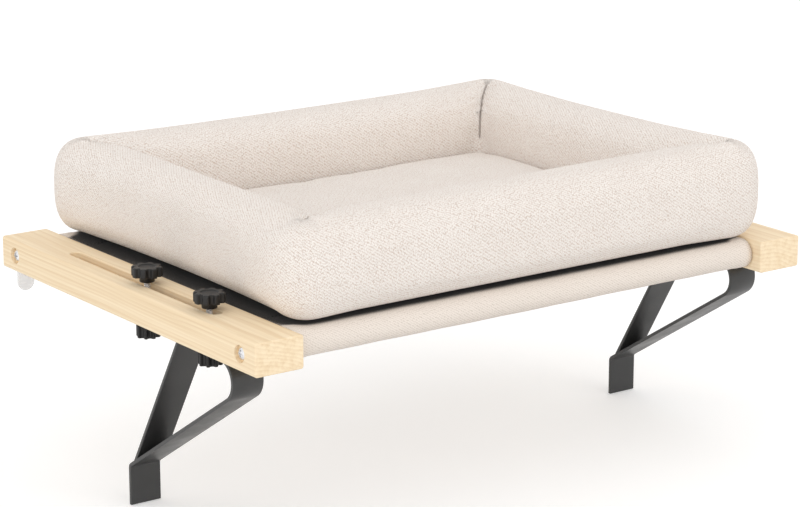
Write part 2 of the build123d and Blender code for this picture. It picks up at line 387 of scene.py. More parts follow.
@dataclass(frozen=True)
class ContactShade:
    """Dark shade on the sling where the cushion lies close over it, and little on the open sleeves."""

    reach: float = 0.045
    samples: int = 16
    sleeve_start: float = 0.178
    sleeve_end: float = 0.198
    sleeve_share: float = 0.38
    side_start: float = 0.236
    side_end: float = 0.252
    side_factor: float = 2.6
    dark_below: float = 0.40
    open_above: float = 0.82
    colour: Colour = linear(52, 50, 49)

    def over(self, shade: Shading, colour: Socket) -> Socket:
        """Darkens a colour by how far the space over it is closed off.

        Args:
            shade: The material's tree.
            colour: The cloth's colour.

        Returns:
            The shaded colour.
        """
        near = shade.tree.nodes.new("ShaderNodeAmbientOcclusion")
        near.samples, near.only_local = self.samples, False
        near.inputs["Distance"].default_value = self.reach
        x, y, _ = (shade.calculate("ABSOLUTE", axis) for axis in shade.axes(shade.coordinates("Object")))
        sleeve = shade.spread(y, self.sleeve_start, self.sleeve_end, 0.0, self.sleeve_share)
        ends = shade.spread(x, self.side_start, self.side_end, 1.0, self.side_factor)
        open_share = shade.plus(near.outputs["AO"], shade.times(sleeve, ends))
        return shade.blend(shade.spread(open_share, self.dark_below, self.open_above), self.colour, colour)


@dataclass(frozen=True)
class ClothFinish:
    """Woven cloth: slanted grains of thread on the piece's own UV map, which is in metres."""

    name: str
    light: Colour
    dark: Colour
    grain_width: float
    grain_length: float
    slant: float
    scatter: float
    depth: float
    crossed: float = 0.0
    seamed: bool = False
    shaded: bool = False
    sheen: float = 0.08
    source: str = "UV"
    swap_scale: Point = (250.0, 330.0, 1.0)
    yarn_scale: Point = (1300.0, 1300.0, 1.0)
    patch_scale: Point = (22.0, 22.0, 1.0)
    yarn_share: float = 0.20
    patch_share: float = 0.02
    # seam_share and seam_shade_colour paint shade into the colour along the sunk mitre seams; seam_height lowers the
    # relief there.
    seam_share: float = 0.48
    seam_height: float = 3.0
    seam_shade_colour: Colour = linear(120, 104, 92)

    def grains(self, shade: Shading, slant: float) -> Socket:
        """A field of long raised grains.

        Args:
            shade: The material's tree.
            slant: The grains' angle.

        Returns:
            Height from 0 to 1.
        """
        scale = (1.0 / self.grain_length, 1.0 / self.grain_width, 1.0)
        cells = shade.cells(shade.coordinates(self.source, scale, turn=-slant), self.scatter)
        return shade.spread(cells, 0.76, 0.26)

    def crossing(self, shade: Shading, height: Socket) -> Socket:
        """Swaps the grains for ones of the opposite slant in small patches.

        Args:
            shade: The material's tree.
            height: The grains' height.

        Returns:
            The height with both kinds.
        """
        other = self.grains(shade, -self.slant)
        swap = shade.noise(shade.coordinates(self.source, self.swap_scale), detail=1.0)
        share = shade.spread(swap, 0.60 - self.crossed * 0.2, 0.66 - self.crossed * 0.2)
        kept = shade.times(height, shade.calculate("SUBTRACT", 1.0, share))
        return shade.plus(kept, shade.times(other, share))

    def material(self) -> bpy.types.Material:
        """Builds the material: grains, crossed in small patches, over uneven yarn, with painted shade along the mitre
        seams and, when asked, painted shade where the cushion lies close.
        """
        shade = Shading(self.name)
        height = self.grains(shade, self.slant)
        if self.crossed:
            height = self.crossing(shade, height)
        yarn = shade.noise(shade.coordinates(self.source, self.yarn_scale), detail=2.0)
        patches = shade.noise(shade.coordinates(self.source, self.patch_scale), detail=3.0)
        lit = shade.plus(shade.times(height, 1.0 - self.yarn_share), shade.times(yarn, self.yarn_share))
        lit = shade.plus(lit, shade.spread(patches, 0.3, 0.7, -self.patch_share, self.patch_share))
        colour = shade.blend(lit, self.dark, self.light)
        raised = shade.plus(height, shade.times(yarn, 0.25))
        # Painted shade: along the mitre seams the colour is darkened towards seam_shade_colour, standing in for the
        # shade in their groove. The relief is also lowered there.
        if self.seamed:
            mark = shade.tree.nodes.new("ShaderNodeAttribute")
            mark.attribute_name = "seam"
            line = shade.spread(mark.outputs["Fac"], 0.84, 0.97)
            colour = shade.blend(shade.times(line, self.seam_share), colour, self.seam_shade_colour)
            raised = shade.calculate("SUBTRACT", raised, shade.times(line, self.seam_height))
        if self.shaded:
            colour = ContactShade().over(shade, colour)
        shade.link(colour, shade.shader.inputs["Base Color"])
        shade.constants(Roughness=0.92, Specular_IOR_Level=0.18, Sheen_Weight=self.sheen, Sheen_Roughness=0.45)
        shade.relief(raised, self.depth, 0.9)
        return shade.material


@dataclass(frozen=True)
class CoatFinish:
    """Powder-coated steel or moulded plastic: one colour with fine relief and slightly uneven gloss."""

    name: str
    colour: Colour
    lighter: Colour
    roughness: float
    relief_scale: float
    relief_depth: float
    specular: float = 0.5

    def material(self) -> bpy.types.Material:
        """Builds the material from two scales of noise."""
        shade = Shading(self.name)
        peel = shade.noise(shade.coordinates("Object", (self.relief_scale,) * 3), detail=2.0)
        cloud = shade.noise(shade.coordinates("Object", (38.0, 38.0, 38.0)), detail=4.0)
        dust = shade.times(shade.spread(cloud, 0.35, 0.75), 0.45)
        gloss = shade.spread(cloud, 0.3, 0.7, self.roughness - 0.05, self.roughness + 0.07)
        shade.paint(shade.blend(dust, self.colour, self.lighter), gloss)
        shade.constants(Specular_IOR_Level=self.specular)
        shade.relief(peel, self.relief_depth, 0.6)
        return shade.material


@dataclass(frozen=True)
class MetalFinish:
    """Bare or plated metal with faint streaks."""

    name: str
    colour: Colour
    roughness: float
    scratches: float = 900.0

    def material(self) -> bpy.types.Material:
        """Builds the material: metallic, with noise in its gloss and colour."""
        shade = Shading(self.name)
        rubbed = (self.scratches, self.scratches * 0.2, self.scratches)
        scuff = shade.noise(shade.coordinates("Object", rubbed), detail=3.0)
        tarnish = shade.noise(shade.coordinates("Object", (240.0,) * 3), detail=2.0)
        duller = tuple(v * 0.72 for v in self.colour)
        gloss = shade.spread(scuff, 0.3, 0.7, self.roughness - 0.06, self.roughness + 0.10)
        shade.paint(shade.blend(shade.spread(tarnish, 0.35, 0.8), self.colour, duller), gloss)
        shade.constants(Metallic=1.0)
        shade.relief(scuff, 0.00002, 0.5)
        return shade.material


@dataclass(frozen=True)
class ClearFinish:
    """Cloudy clear plastic."""

    name: str
    colour: Colour

    def material(self) -> bpy.types.Material:
        """Builds the material: half see-through, with faint flow marks in its gloss."""
        shade = Shading(self.name)
        flow = shade.noise(shade.coordinates("Object", (60.0, 60.0, 220.0)), detail=3.0)
        paler = tuple(min(1.0, v * 1.05) for v in self.colour)
        shade.paint(shade.blend(flow, self.colour, paler), shade.spread(flow, 0.3, 0.7, 0.16, 0.30))
        shade.constants(IOR=1.45, Transmission_Weight=0.1, Alpha=0.5, Specular_IOR_Level=0.3)
        shade.relief(flow, 0.00004, 0.2)
        return shade.material


FINISHES = {
    "rail_left": WoodFinish("pine_left", linear(250, 231, 199), linear(217, 184, 137), (-0.330, 0.0, -0.150)),
    "rail_right": WoodFinish("pine_right", linear(250, 231, 199), linear(219, 186, 140), (0.240, 0.0, -0.160)),
    "rods": WoodFinish("beech", linear(232, 204, 164), linear(201, 164, 118), (0.0, -0.23, 0.03), along=0),
    "cushion": ClothFinish("cushion_weave", linear(255, 251, 246), linear(209, 187, 172), 0.0012, 0.0024,
                           math.radians(58), 0.36, 0.00050, crossed=0.30, seamed=True),
    "sling": ClothFinish("sling_twill", linear(245, 236, 227), linear(204, 192, 180), 0.0008, 0.0020,
                         math.radians(-58), 0.35, 0.00018, shaded=True),
    "coat": CoatFinish("dark_coat", linear(52, 52, 52), linear(62, 62, 62), 0.36, 2600.0, 0.00004),
    "plastic": CoatFinish("black_plastic", linear(26, 25, 25), linear(40, 39, 38), 0.46, 3800.0, 0.00005, 0.4),
    "zinc": MetalFinish("zinc_plate", (0.86, 0.86, 0.87), 0.30),
    "brass": MetalFinish("brass", (0.78, 0.60, 0.30), 0.32),
    "clear": ClearFinish("clear_plastic", linear(236, 236, 237)),
    "thread": ClothFinish("sewing_thread", linear(244, 236, 226), linear(214, 202, 188), 0.0005, 0.0012,
                          math.radians(35), 0.4, 0.0001, shaded=True, source="Object"),
}


@dataclass
class Surface:
    """Points and quads of one or more closed surfaces."""

    points: np.ndarray
    quads: np.ndarray

    def moved(self, x: float = 0.0, y: float = 0.0, z: float = 0.0) -> "Surface":
        """The same surface in another place.

        Args:
            x: Move along X.
            y: Move along Y.
            z: Move along Z.

        Returns:
            The moved surface.
        """
        return Surface(self.points + np.array([x, y, z]), self.quads)

    def joined(self, *others: "Surface") -> "Surface":
        """This surface and others as one.

        Args:
            *others: What is added.

        Returns:
            All of them, with their quads renumbered.
        """
        parts = (self, *others)
        starts = np.cumsum([0] + [len(part.points) for part in parts[:-1]])
        quads = [part.quads + start for part, start in zip(parts, starts)]
        return Surface(np.concatenate([part.points for part in parts]), np.concatenate(quads))

    def piece(self, name: str, finish: bpy.types.Material, smooth: bool = True) -> bpy.types.Object:
        """Makes the surface an object at the origin.

        Args:
            name: The piece's name.
            finish: Its material.
            smooth: Whether its faces shade smoothly.

        Returns:
            The new object.
        """
        mesh = bpy.data.meshes.new(name)
        mesh.from_pydata(self.points.tolist(), [], self.quads.tolist())
        mesh.materials.append(finish)
        mesh.polygons.foreach_set("use_smooth", np.full(len(mesh.polygons), smooth))
        weld_doubles(mesh)
        made = bpy.data.objects.new(name, mesh)
        bpy.context.scene.collection.objects.link(made)
        return made


def weld_doubles(mesh: bpy.types.Mesh) -> None:
    """Merges doubled vertices of a closed mesh and turns its faces outwards.

    Args:
        mesh: The mesh to mend.
    """
    edit = bmesh.new()
    edit.from_mesh(mesh)
    bmesh.ops.remove_doubles(edit, verts=edit.verts, dist=1e-6)
    bmesh.ops.dissolve_degenerate(edit, edges=edit.edges, dist=1e-7)
    bmesh.ops.recalc_face_normals(edit, faces=edit.faces)
    edit.to_mesh(mesh)
    edit.free()
    mesh.update()


def grid_quads(rows: int, columns: int, wrap_rows: bool = False, wrap_columns: bool = False) -> np.ndarray:
    """Quads between the points of a grid that is stored row by row.

    Args:
        rows: Number of rows.
        columns: Number of columns.
        wrap_rows: Whether the last row joins the first.
        wrap_columns: Whether the last column joins the first.

    Returns:
        One row of four indices for each quad.
    """
    row, column = np.meshgrid(np.arange(rows if wrap_rows else rows - 1),
                              np.arange(columns if wrap_columns else columns - 1), indexing="ij")
    row, column = row.ravel(), column.ravel()
    next_row, next_column = (row + 1) % rows, (column + 1) % columns
    corners = (row * columns + column, row * columns + next_column,
               next_row * columns + next_column, next_row * columns + column)
    return np.stack(corners, axis=1)


def lathe(radii: np.ndarray, heights: np.ndarray, rim: np.ndarray) -> Surface:
    """Closed solid turned about Z, whose outline may vary round it.

    A point at height row i and angle t lies at radius radii[i] * rim[i, t]. The first and last radii
    are 0, so the two ends close on the axis.

    Args:
        radii: Radius of each height row.
        heights: Height of each row.
        rim: Factor on the radius, one row for each height and one column for each angle.

    Returns:
        The closed surface.
    """
    turn = np.linspace(0.0, 2 * math.pi, rim.shape[1], endpoint=False)
    reach = radii[:, None] * rim
    points = np.stack([reach * np.cos(turn), reach * np.sin(turn), np.broadcast_to(heights[:, None], reach.shape)], -1)
    return Surface(points.reshape(-1, 3), grid_quads(*reach.shape, wrap_columns=True))


def tube(path: np.ndarray, radius: float, sides: int) -> Surface:
    """Tube with tapered closed ends along a path that mostly lies level.

    A point is the path's point plus the radius times cos(t) along its side direction and sin(t) along
    its upward direction, and the radius falls to 0 at both ends.

    Args:
        path: Points along the middle, one in each row.
        radius: The tube's radius.
        sides: Number of sides.

    Returns:
        The closed surface.
    """
    run = np.gradient(path, axis=0)
    run /= np.linalg.norm(run, axis=1, keepdims=True)
    side = np.cross(run, np.array([0.0, 0.0, 1.0]))
    size = np.linalg.norm(side, axis=1, keepdims=True)
    side = np.where(size > 1e-6, side / np.maximum(size, 1e-9), np.array([1.0, 0.0, 0.0]))
    up = np.cross(side, run)
    turn = np.linspace(0.0, 2 * math.pi, sides, endpoint=False)
    taper = np.full(len(path), radius)
    taper[[0, -1]] = 0.0
    ring = side[:, None] * np.cos(turn)[None, :, None] + up[:, None] * np.sin(turn)[None, :, None]
    points = path[:, None] + ring * taper[:, None, None]
    return Surface(points.reshape(-1, 3), grid_quads(len(path), sides, wrap_columns=True))


def mesh_points(mesh: bpy.types.Mesh) -> np.ndarray:
    """A mesh's vertices as rows of X, Y and Z.

    Args:
        mesh: The mesh that is read.

    Returns:
        Its points.
    """
    flat = np.zeros(len(mesh.vertices) * 3, np.float32)
    mesh.vertices.foreach_get("co", flat)
    return flat.reshape(-1, 3).astype(float)


def set_points(mesh: bpy.types.Mesh, points: np.ndarray) -> None:
    """Writes a mesh's vertices.

    Args:
        mesh: The mesh that is changed.
        points: One row for each vertex.
    """
    mesh.vertices.foreach_set("co", points.astype(np.float32).ravel())
    mesh.update()


def mesh_normals(mesh: bpy.types.Mesh) -> np.ndarray:
    """A mesh's vertex normals.

    Args:
        mesh: The mesh that is read.

    Returns:
        One unit row for each vertex.
    """
    flat = np.zeros(len(mesh.vertices) * 3, np.float32)
    mesh.vertex_normals.foreach_get("vector", flat)
    return flat.reshape(-1, 3).astype(float)


def finished(source: bpy.types.Object, name: str) -> bpy.types.Mesh:
    """The mesh of an object with its modifiers applied. The object is removed.

    Args:
        source: The object.
        name: Name of the new mesh.

    Returns:
        The applied mesh.
    """
    bpy.context.view_layer.update()
    graph = bpy.context.evaluated_depsgraph_get()
    mesh = bpy.data.meshes.new_from_object(source.evaluated_get(graph), depsgraph=graph)
    mesh.name = name
    bpy.data.objects.remove(source)
    return mesh


def scratch_object(mesh: bpy.types.Mesh) -> bpy.types.Object:
    """A linked object for work in progress.

    Args:
        mesh: Its mesh.

    Returns:
        The object.
    """
    made = bpy.data.objects.new("work", mesh)
    bpy.context.scene.collection.objects.link(made)
    return made


def voxel_copy(node: str, voxel: float) -> bpy.types.Mesh:
    """Even quads over the outside of a CAD node.

    Args:
        node: The node's name.
        voxel: Size of the quads.

    Returns:
        A new mesh. The node itself isn't changed.
    """
    copy = NODES[node].data.copy()
    weld_doubles(copy)
    work = scratch_object(copy)
    remesh = work.modifiers.new("even", "REMESH")
    remesh.mode = "VOXEL"
    remesh.voxel_size = voxel
    smooth = work.modifiers.new("smooth", "SMOOTH")
    smooth.factor, smooth.iterations = 0.5, 3
    return finished(work, node + "_even")


def swell(mesh: bpy.types.Mesh, pressure: float, frames: int, cap: float) -> None:
    """Blows a closed mesh up as cloth, without weight, and caps how far a point moves.

    Args:
        mesh: The mesh that is changed.
        pressure: Pressure inside.
        frames: Length of the simulation.
        cap: Furthest move of a point.
    """
    start = mesh_points(mesh)
    work = scratch_object(mesh.copy())
    cloth = work.modifiers.new("cloth", "CLOTH")
    settings = cloth.settings
    settings.quality = 6
    settings.mass = 0.25
    settings.tension_stiffness = settings.compression_stiffness = 14.0
    settings.shear_stiffness = 6.0
    settings.bending_stiffness = 0.6
    settings.use_pressure = True
    settings.uniform_pressure_force = pressure
    settings.effector_weights.gravity = 0.0
    cloth.collision_settings.use_collision = False
    cloth.point_cache.frame_start, cloth.point_cache.frame_end = 1, frames
    for number in range(1, frames + 1):
        bpy.context.scene.frame_set(number)
    graph = bpy.context.evaluated_depsgraph_get()
    moved = mesh_points(work.evaluated_get(graph).data) - start
    bpy.data.objects.remove(work)
    bpy.context.scene.frame_set(1)
    far = np.linalg.norm(moved, axis=1, keepdims=True)
    set_points(mesh, start + moved * np.minimum(1.0, cap / np.maximum(far, 1e-9)))


def subdivided(mesh: bpy.types.Mesh, name: str) -> bpy.types.Mesh:
    """The mesh with each quad divided in four and smoothed.

    Args:
        mesh: The coarse mesh.
        name: Name of the new mesh.

    Returns:
        The finer mesh.
    """
    work = scratch_object(mesh)
    smoother = work.modifiers.new("finer", "SUBSURF")
    smoother.levels = smoother.render_levels = 1
    return finished(work, name)


def loop_arrays(mesh: bpy.types.Mesh) -> tuple[np.ndarray, np.ndarray]:
    """Which vertex and which face each corner of a mesh belongs to.

    Args:
        mesh: The mesh that is read.

    Returns:
        The vertex of each corner, and its face.
    """
    vertex = np.zeros(len(mesh.loops), np.int32)
    mesh.loops.foreach_get("vertex_index", vertex)
    corners = np.zeros(len(mesh.polygons), np.int32)
    mesh.polygons.foreach_get("loop_total", corners)
    return vertex, np.repeat(np.arange(len(mesh.polygons)), corners)


def set_map(mesh: bpy.types.Mesh, across: np.ndarray, along: np.ndarray) -> None:
    """Writes a cloth's own map, in metres.

    Args:
        mesh: The mesh that gets it.
        across: First coordinate of each corner.
        along: Second coordinate of each corner.
    """
    layer = mesh.uv_layers.new(name="cloth")
    layer.data.foreach_set("uv", np.stack([across, along], 1).astype(np.float32).ravel())


def place_soft(mesh: bpy.types.Mesh, finish: bpy.types.Material) -> bpy.types.Object:
    """Makes a finished soft mesh a piece under its mesh's name.

    Args:
        mesh: The mesh.
        finish: Its material.

    Returns:
        The piece.
    """
    mesh.materials.clear()
    mesh.materials.append(finish)
    mesh.polygons.foreach_set("use_smooth", np.full(len(mesh.polygons), True))
    made = bpy.data.objects.new(mesh.name, mesh)
    bpy.context.scene.collection.objects.link(made)
    return made


def smooth_step(value: np.ndarray, low: float, high: float) -> np.ndarray:
    """Rises smoothly from 0 at low to 1 at high, as 3t squared minus 2t cubed.

    Args:
        value: Where it is read.
        low: Start of the rise.
        high: End of the rise.

    Returns:
        Values from 0 to 1.
    """
    t = np.clip((value - low) / (high - low), 0.0, 1.0)
    return t * t * (3.0 - 2.0 * t)


@dataclass(frozen=True)
class CushionShape:
    """The stuffed ring's size, and how its crown and its walls differ round it."""

    low: Point = (-0.2630, -0.2120, 0.0292)
    high: Point = (0.2789, 0.2204, 0.1212)
    wall: float = 0.0696
    centre_z: float = 0.075
    corner_crowns: tuple[float, ...] = (0.1197, 0.1237, 0.1205, 0.1214)
    middle_crowns: tuple[float, ...] = (0.1218, 0.1207, 0.1196, 0.1201)
    draw_in: tuple[float, ...] = (0.0003, 0.0011, 0.0022, 0.0138)
    stuffing: float = 2.9

    def middle(self) -> np.ndarray:
        """Middle of the ring in plan."""
        return (np.array(self.low[:2]) + np.array(self.high[:2])) / 2

    def half(self) -> np.ndarray:
        """Half the distance between the middles of facing walls, along X and Y."""
        return (np.array(self.high[:2]) - np.array(self.low[:2]) - self.wall) / 2

    def measured(self, points: np.ndarray) -> tuple[np.ndarray, np.ndarray, np.ndarray]:
        """Places points against the ring.

        Args:
            points: Points of the ring.

        Returns:
            Offsets from its middle along X and Y, distances past the middles of its walls, and rise over
            its section's middle, 1 at the crown.
        """
        away = points[:, :2] - self.middle()
        rise = (points[:, 2] - self.centre_z) / (self.high[2] - self.centre_z)
        return away, np.abs(away) - self.half(), rise


@dataclass(frozen=True)
class RingPlace:
    """Where points lie on the ring: their wall, their share along it and their place in its section."""

    wall: np.ndarray
    share: np.ndarray
    way: np.ndarray
    base: np.ndarray
    out: np.ndarray

    @staticmethod
    def of(points: np.ndarray, shape: CushionShape) -> "RingPlace":
        """Finds the places of points.

        A point takes the wall that it lies further out on. Beyond both walls it lies on the round
        corner, and its section turns about the corner's middle.

        Args:
            points: Points of the ring.
            shape: The ring's size.

        Returns:
            Their places.
        """
        away, past, _ = shape.measured(points)
        half = shape.half()
        on_side = past[:, 0] > past[:, 1]
        sign = np.where(away < 0, -1.0, 1.0)
        walls = (Wall.FRONT.value, Wall.RIGHT.value, Wall.BACK.value)
        chosen = [~on_side & (sign[:, 1] < 0), on_side & (sign[:, 0] > 0), ~on_side & (sign[:, 1] > 0)]
        wall = np.select(chosen, walls, Wall.LEFT.value)
        along = np.where(on_side, away[:, 1] / half[1], away[:, 0] / half[0])
        share = np.clip(along, -1.0, 1.0) * np.where(wall < Wall.BACK.value, 1.0, -1.0)
        corner = np.minimum(past[:, 0], past[:, 1]) > 0
        size = np.maximum(np.hypot(past[:, 0], past[:, 1]), 1e-9)
        straight = np.stack([on_side * 1.0, ~on_side * 1.0], 1)
        way = np.where(corner[:, None], past / size[:, None], straight) * sign
        out = np.where(corner, size, np.maximum(past[:, 0], past[:, 1]))
        return RingPlace(wall, share, way, points[:, :2] - way * out[:, None], out)

    def station(self, corners: tuple[float, ...], middles: tuple[float, ...]) -> np.ndarray:
        """A value that goes along each wall from corner to corner by a parabola through its middle.

        Args:
            corners: Values at the corners before the front, right, back and left walls.
            middles: Values at the middles of those walls.

        Returns:
            The value at each point.
        """
        before, after = np.array(corners)[self.wall], np.roll(corners, -1)[self.wall]
        straight = before + (after - before) * (self.share + 1) / 2
        return straight + (1 - self.share ** 2) * (np.array(middles)[self.wall] - (before + after) / 2)


@dataclass
class Cushion:
    """Bolster bed: a stuffed ring with mitred corners round a crowned pad."""

    shape: CushionShape = CushionShape()
    voxel: float = 0.005
    cap: float = 0.0022
    knob_inner: float = 0.2672
    knob_top: float = 0.054
    knob_reach: float = 0.150
    seam_depth: float = 0.0034
    seam_width: float = 0.0030
    pucker_depth: float = 0.0022
    pucker_width: float = 0.016
    pucker_waves: float = 900.0
    mark_width: float = 0.012
    knob_fade: float = 0.040
    knob_rise: float = 0.024
    pressure: float = 4.0
    frames: int = 20
    seat_voxel: float = 0.006
    seat_inset: float = 0.004
    seat_cap: float = 0.010
    seat_crown: float = 0.008
    seat_tuck: float = 0.010

    def formed(self, points: np.ndarray) -> np.ndarray:
        """Moves points out from the middle of their section to a superellipse about it.

        The radius at an angle is the one where |cos / a| ** n + |sin / h| ** n is 1, with a the half
        thickness and h the height to the crown or down to the base.

        Args:
            points: Points of the ring.

        Returns:
            The moved points.
        """
        shape = self.shape
        place = RingPlace.of(points, shape)
        angle = np.arctan2(points[:, 2] - shape.centre_z, place.out)
        crown = place.station(shape.corner_crowns, shape.middle_crowns)
        pull = place.station((0.0, 0.0, 0.0, 0.0), shape.draw_in)
        across = shape.wall / 2 - pull * (place.out > 0)
        height = np.where(angle > 0, crown - shape.centre_z, shape.centre_z - shape.low[2])
        power = shape.stuffing
        ratio = (np.abs(np.cos(angle)) / across) ** power + (np.abs(np.sin(angle)) / height) ** power
        reach = ratio ** (-1 / power)
        plan = place.base + place.way * (reach * np.cos(angle))[:, None]
        return np.column_stack([plan, shape.centre_z + reach * np.sin(angle)])

    def mitred(self, mesh: bpy.types.Mesh) -> None:
        """Cuts edges into the ring along the mitre planes of its four corners.

        Args:
            mesh: The ring's mesh.
        """
        middle, half = self.shape.middle(), self.shape.half()
        edit = bmesh.new()
        edit.from_mesh(mesh)
        for side_x in (-1, 1):
            for side_y in (-1, 1):
                corner = (middle[0] + side_x * half[0], middle[1] + side_y * half[1], 0.0)
                reach = self.shape.wall
                faces = [face for face in edit.faces
                         if (face.calc_center_median().xy - Vector(corner[:2])).length < reach]
                parts = list({edge for face in faces for edge in face.edges})
                parts += list({vertex for face in faces for vertex in face.verts}) + faces
                bmesh.ops.bisect_plane(edit, geom=parts, dist=2e-4, plane_co=corner, plane_no=(side_x, -side_y, 0))
        edit.to_mesh(mesh)
        edit.free()
        mesh.update()

    def seam_share(self, outward: np.ndarray, rise: np.ndarray) -> np.ndarray:
        """How strongly the mitre seam shows: fully inside and over the crown, and not on the outer corner.

        Args:
            outward: Distance past the walls' middles.
            rise: Height over the section's middle, 1 at the crown.

        Returns:
            Share from 0 to 1.
        """
        return smooth_step(-outward, -0.011, 0.001) * smooth_step(rise, -0.6, 0.0)

    def detailed(self, points: np.ndarray) -> np.ndarray:
        """Adds the mitre seams and the room beside the clamp knobs.

        Args:
            points: Points of the formed ring.

        Returns:
            The moved points.
        """
        shape = self.shape
        away, past, rise = shape.measured(points)
        outward = past.max(axis=1)
        mitre = np.abs(past[:, 0] - past[:, 1]) / math.sqrt(2)
        over = self.seam_share(outward, rise)
        groove = self.seam_depth * np.exp(-mitre / self.seam_width)
        fade = np.exp(-((mitre / self.pucker_width) ** 2))
        pucker = self.pucker_depth * fade * (1 + 0.5 * np.sin(outward * self.pucker_waves))
        sink = (groove + pucker) * over
        moved = points.copy()
        moved[:, 2] -= sink * np.clip(rise, 0.0, 1.0)
        inner = np.clip(-2 * outward / shape.wall, 0.0, 1.0)
        moved[:, :2] += np.sign(away) * (sink * inner)[:, None]
        near = 1 - smooth_step(np.abs(points[:, 1]), self.knob_reach, self.knob_reach + self.knob_fade)
        below = 1 - smooth_step(points[:, 2], self.knob_top, self.knob_top + self.knob_rise)
        excess = np.maximum(0.0, np.abs(moved[:, 0]) - self.knob_inner) * near * below
        moved[:, 0] -= np.sign(moved[:, 0]) * excess
        moved[:, 2] = np.maximum(moved[:, 2], shape.low[2])
        return moved

    def map_ring(self, mesh: bpy.types.Mesh) -> None:
        """Maps the cover: one coordinate runs round the ring and one round its section.

        Along a wall the first is the distance from the wall's start, and round an outer corner it is
        the middle radius times the angle. A face takes one wall, so the weave breaks at the mitre
        seams inside and runs on round the corners outside. The distance from the mitre is kept too.

        Args:
            mesh: The ring's mesh.
        """
        shape = self.shape
        points = mesh_points(mesh)
        vertex, face = loop_arrays(mesh)
        count = np.bincount(face)
        centres = np.stack([np.bincount(face, points[vertex, axis]) / count for axis in range(3)], 1)
        wall = RingPlace.of(centres, shape).wall[face]
        middle, half = shape.middle(), shape.half()
        away = points[vertex, :2] - middle
        past = np.abs(away) - half
        axis = wall % 2
        rows = np.arange(len(axis))
        way = np.where(wall < Wall.BACK.value, 1.0, -1.0)
        along, limit = away[rows, axis], half[axis]
        out, beyond = past[rows, 1 - axis], np.maximum(np.abs(along) - limit, 0.0)
        corner = shape.wall / 2 * math.pi / 2
        starts = np.arange(len(Wall)) * (half[0] + half[1] + corner)
        bend = np.where(out > 0, shape.wall / 2 * np.arctan2(beyond, np.maximum(out, 1e-4)), beyond)
        across = starts[wall] + way * (np.clip(along, -limit, limit) + np.sign(along) * bend)
        reach = np.where(out > 0, np.hypot(out, beyond), out)
        angle = np.arctan2(points[vertex, 2] - shape.centre_z, reach)
        angle = np.where(angle < -math.pi / 2, angle + 2 * math.pi, angle)
        table = np.linspace(-math.pi / 2, 3 * math.pi / 2, 721)
        size = (shape.wall / 2, shape.high[2] - shape.centre_z)
        ring = ((np.abs(np.cos(table)) / size[0]) ** 3 + (np.abs(np.sin(table)) / size[1]) ** 3) ** (-1 / 3)
        steps = np.hypot(np.diff(ring * np.cos(table)), np.diff(ring * np.sin(table)))
        set_map(mesh, across, np.interp(angle, table, np.concatenate([[0.0], np.cumsum(steps)])))
        _, past, rise = shape.measured(points)
        over = self.seam_share(past.max(axis=1), rise)
        # The seam attribute also sets where the cover's material paints shade along the mitre seams and lowers its
        # relief.
        seam = mesh.attributes.new("seam", "FLOAT", "POINT")
        nearness = (1 - np.abs(past[:, 0] - past[:, 1]) / self.mark_width) * over
        seam.data.foreach_set("value", np.clip(nearness, 0.0, 1.0).astype(np.float32))

    def ring(self, finish: bpy.types.Material) -> bpy.types.Object:
        """Makes the stuffed ring.

        Args:
            finish: The cover's material.

        Returns:
            The piece.
        """
        mesh = voxel_copy("cushion_bolster", self.voxel)
        set_points(mesh, self.formed(mesh_points(mesh)))
        swell(mesh, self.pressure, self.frames, self.cap)
        mesh = subdivided(mesh, "cushion_ring")
        self.mitred(mesh)
        set_points(mesh, self.detailed(mesh_points(mesh)))
        self.map_ring(mesh)
        return place_soft(mesh, finish)

    def seat(self, finish: bpy.types.Material) -> bpy.types.Object:
        """Makes the crowned pad, which reaches a little under the ring's inner sides.

        Args:
            finish: The cover's material.

        Returns:
            The piece.
        """
        mesh = voxel_copy("cushion_pad", self.seat_voxel)
        start = mesh_points(mesh)
        set_points(mesh, start - mesh_normals(mesh) * self.seat_inset)
        swell(mesh, self.pressure, self.frames, self.seat_cap)
        mesh = subdivided(mesh, "cushion_seat")
        low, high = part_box("cushion_pad")
        points = mesh_points(mesh)
        inner_low = np.array(self.shape.low[:2]) + self.shape.wall - self.seat_tuck
        inner_high = np.array(self.shape.high[:2]) - self.shape.wall + self.seat_tuck
        edge_low, edge_high = points[:, :2].min(axis=0), points[:, :2].max(axis=0)
        stretch = (inner_high - inner_low) / (edge_high - edge_low)
        points[:, :2] = inner_low + (points[:, :2] - edge_low) * stretch
        points[:, 2] = np.clip(points[:, 2], low.z, high.z + self.seat_crown)
        set_points(mesh, points)
        vertex, _ = loop_arrays(mesh)
        set_map(mesh, points[vertex, 0], points[vertex, 1])
        return place_soft(mesh, finish)

    def build(self, finish: bpy.types.Material) -> None:
        """Makes both pieces and puts them on their body.

        Args:
            finish: The cover's material.
        """
        parts = ((self.ring(finish), "cushion_bolster", 0.9), (self.seat(finish), "cushion_pad", 0.7))
        for piece, node, fill in parts:
            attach(piece, "cushion")
            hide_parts(node)


